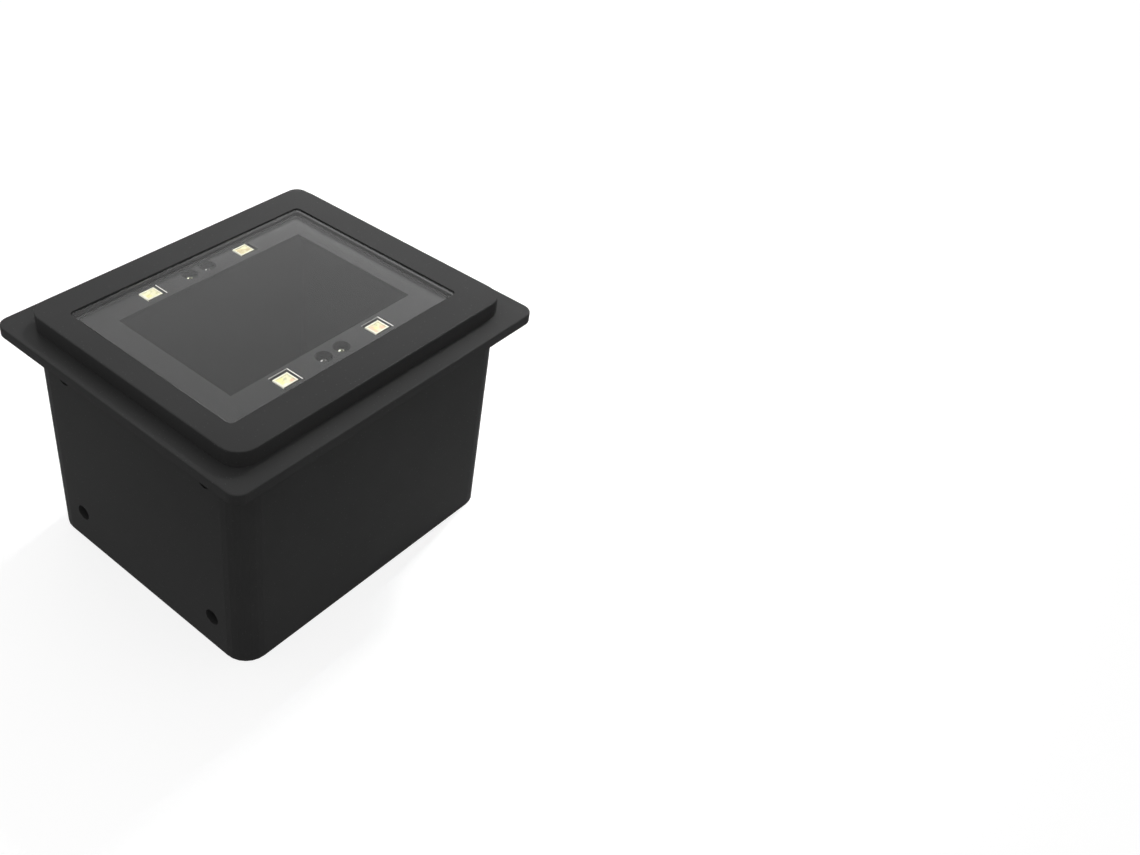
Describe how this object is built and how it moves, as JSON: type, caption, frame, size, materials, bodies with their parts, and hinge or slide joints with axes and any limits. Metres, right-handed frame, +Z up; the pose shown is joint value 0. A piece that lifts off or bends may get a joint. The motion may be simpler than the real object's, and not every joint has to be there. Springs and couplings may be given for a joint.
{
  "type": "fixed barcode reader",
  "caption": "Fixed barcode reader: a deep black box with a wide flange and a raised bezel round a recessed glass window, over a grey mask with lights and a camera tunnel.",
  "frame": {"origin": "centre of the housing's flat base, on the plane that it stands on", "axes": "+X along the long side towards the cable socket's end, +Y along the short side, +Z up through the glass window"},
  "size_m": [0.0786, 0.0676, 0.053],
  "materials": {
    "housing_black": "fine moulded texture, matte",
    "window_glass": "polished, clear",
    "window_seal": "matte",
    "grey_mask": "smooth, satin, pale cut edges",
    "shroud_black": "matte",
    "board_green": "solder resist, satin",
    "led_yellow": "smooth, satin",
    "led_orange": "smooth, satin",
    "clear_dome": "polished",
    "chip_black": "fine matte",
    "socket_black": "moulded, satin",
    "lens_glass": "polished, coated",
    "barrel_black": "black anodised, satin",
    "screw_steel": "satin",
    "flat_cable": "smooth film",
    "connector_ivory": "moulded, satin"
  },
  "bodies": {
    "root": {"base_plate": "housing_black", "base_screw_back_left": "screw_steel", "base_screw_back_right": "screw_steel", "base_screw_front_left": "screw_steel", "base_screw_front_right": "screw_steel", "board_screw_back_left": "screw_steel", "board_screw_back_right": "screw_steel", "board_screw_front_left": "screw_steel", "board_screw_front_right": "screw_steel", "buzzer": "chip_black", "cable_socket": "socket_black", "camera_board": "board_green", "camera_connector": "connector_ivory", "camera_screw_back_left": "screw_steel", "camera_screw_back_right": "screw_steel", "camera_screw_front_left": "screw_steel", "camera_screw_front_right": "screw_steel", "decoder_chip": "chip_black", "dome_led_back_left": "clear_dome", "dome_led_back_right": "clear_dome", "dome_led_front_left": "clear_dome", "dome_led_front_right": "clear_dome", "front_lens": "lens_glass", "housing": "housing_black", "illumination_mask": "grey_mask", "image_sensor": "chip_black", "lens_barrel": "barrel_black", "lens_holder": "shroud_black", "light_board": "board_green", "light_cable": "flat_cable", "light_connector_lower": "connector_ivory", "light_connector_upper": "connector_ivory", "light_shroud": "shroud_black", "main_board": "board_green", "memory_chip": "chip_black", "power_coil": "chip_black", "shroud_screw_back_left": "screw_steel", "shroud_screw_back_right": "screw_steel", "shroud_screw_front_left": "screw_steel", "shroud_screw_front_right": "screw_steel", "square_led_back_left": "led_yellow", "square_led_back_right": "led_yellow", "square_led_front_left": "led_yellow", "square_led_front_right": "led_orange", "window_glass": "window_glass", "window_seal": "window_seal"}
  },
  "joints": []
}
